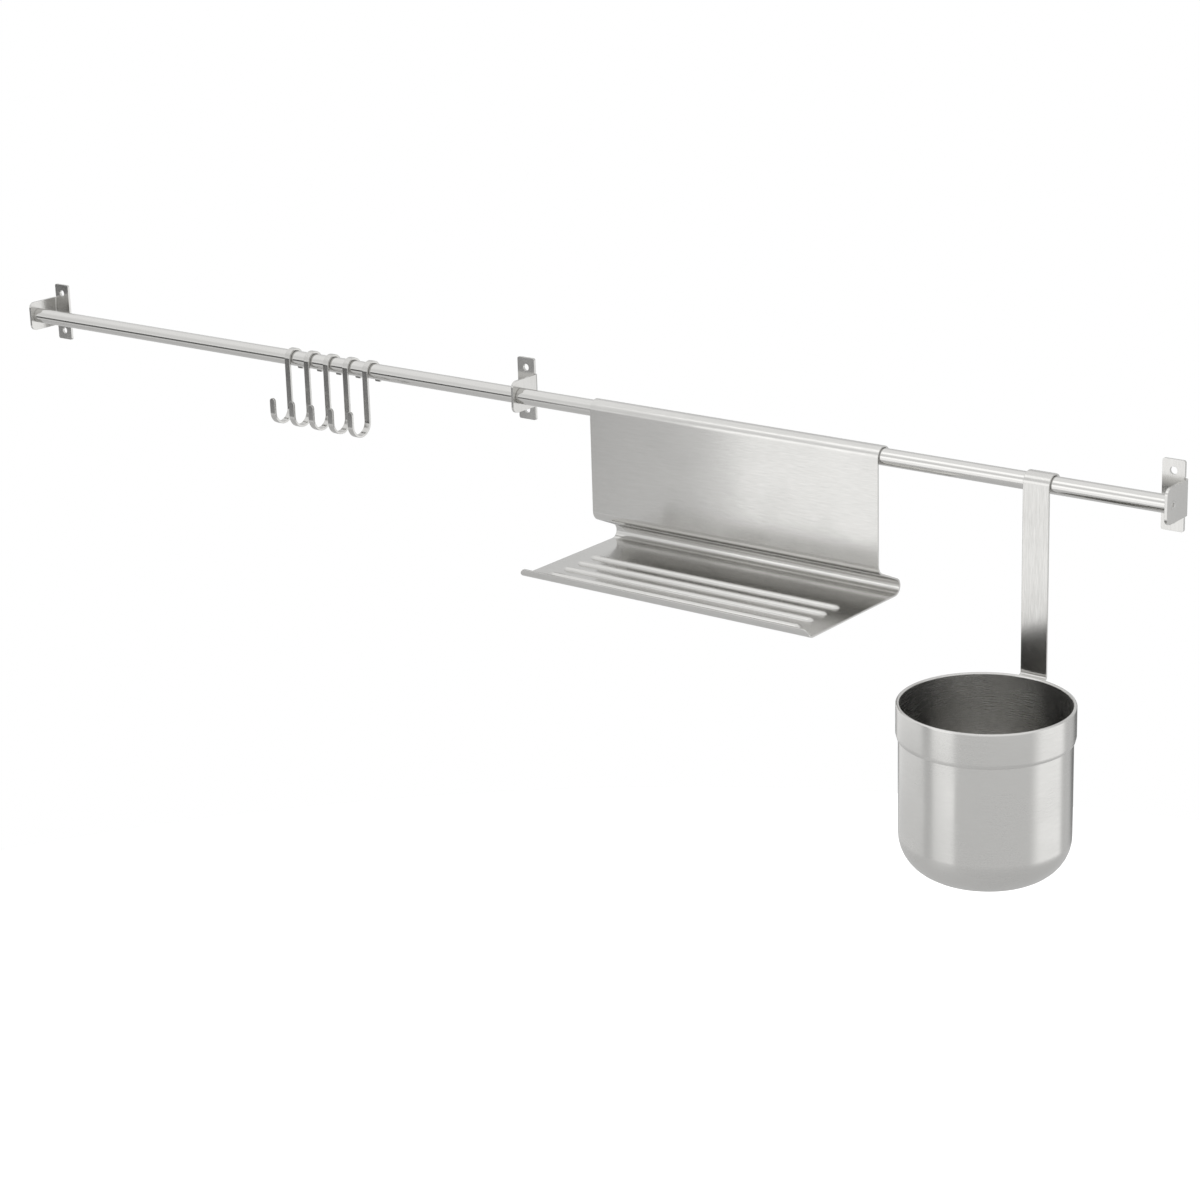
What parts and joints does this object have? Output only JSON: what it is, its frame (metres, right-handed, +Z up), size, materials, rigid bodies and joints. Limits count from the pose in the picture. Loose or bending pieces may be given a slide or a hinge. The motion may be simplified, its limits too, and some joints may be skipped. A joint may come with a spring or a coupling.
{
  "type": "kitchen utensil rail",
  "caption": "Wall rail of round steel tube on bent brackets, with sliding flat hooks, a folded shelf stand and a hanging cup for utensils.",
  "frame": {"origin": "on the wall plane, midway between the two screw holes of the middle bracket", "axes": "+X along the rail to the right as seen from the room, +Y into the wall, +Z up"},
  "size_m": [1.1, 0.1535, 0.279],
  "materials": {
    "tube_steel": "brushed stainless steel",
    "bracket_steel": "brushed stainless steel",
    "plug_steel": "brushed stainless steel",
    "screw_steel": "brushed stainless steel",
    "hook_steel": "brushed stainless steel",
    "stand_steel": "brushed stainless steel",
    "cup_steel": "brushed stainless steel",
    "strap_steel": "brushed stainless steel"
  },
  "bodies": {
    "rail": {"rail_tube_left": "tube_steel", "rail_tube_right": "tube_steel", "bracket_left": "bracket_steel", "bracket_middle": "bracket_steel", "bracket_right": "bracket_steel", "end_plug_left": "plug_steel", "join_plug_left": "plug_steel", "join_plug_right": "plug_steel", "end_plug_right": "plug_steel", "joining_stud": "screw_steel", "end_screw_left": "screw_steel", "end_screw_right": "screw_steel"},
    "hook_1": {"hook_1": "hook_steel"},
    "hook_2": {"hook_2": "hook_steel"},
    "hook_3": {"hook_3": "hook_steel"},
    "hook_4": {"hook_4": "hook_steel"},
    "hook_5": {"hook_5": "hook_steel"},
    "stand": {"shelf_stand": "stand_steel"},
    "cup": {"utensil_cup": "cup_steel", "cup_strap": "strap_steel"}
  },
  "joints": [
    {"name": "hook_1_slide", "type": "slide", "parent": "rail", "child": "hook_1", "axis": [1, 0, 0], "range_m": [-0.3065, 0.0155]},
    {"name": "hook_2_slide", "type": "slide", "parent": "rail", "child": "hook_2", "axis": [1, 0, 0], "range_m": [-0.0155, 0.0155]},
    {"name": "hook_3_slide", "type": "slide", "parent": "rail", "child": "hook_3", "axis": [1, 0, 0], "range_m": [-0.0155, 0.0155]},
    {"name": "hook_4_slide", "type": "slide", "parent": "rail", "child": "hook_4", "axis": [1, 0, 0], "range_m": [-0.0155, 0.0155]},
    {"name": "hook_5_slide", "type": "slide", "parent": "rail", "child": "hook_5", "axis": [1, 0, 0], "range_m": [-0.0155, 0.149]},
    {"name": "stand_slide", "type": "slide", "parent": "rail", "child": "stand", "axis": [1, 0, 0], "range_m": [-0.0729, 0.1145]},
    {"name": "cup_slide", "type": "slide", "parent": "rail", "child": "cup", "axis": [1, 0, 0], "range_m": [-0.1145, 0.0847]}
  ]
}
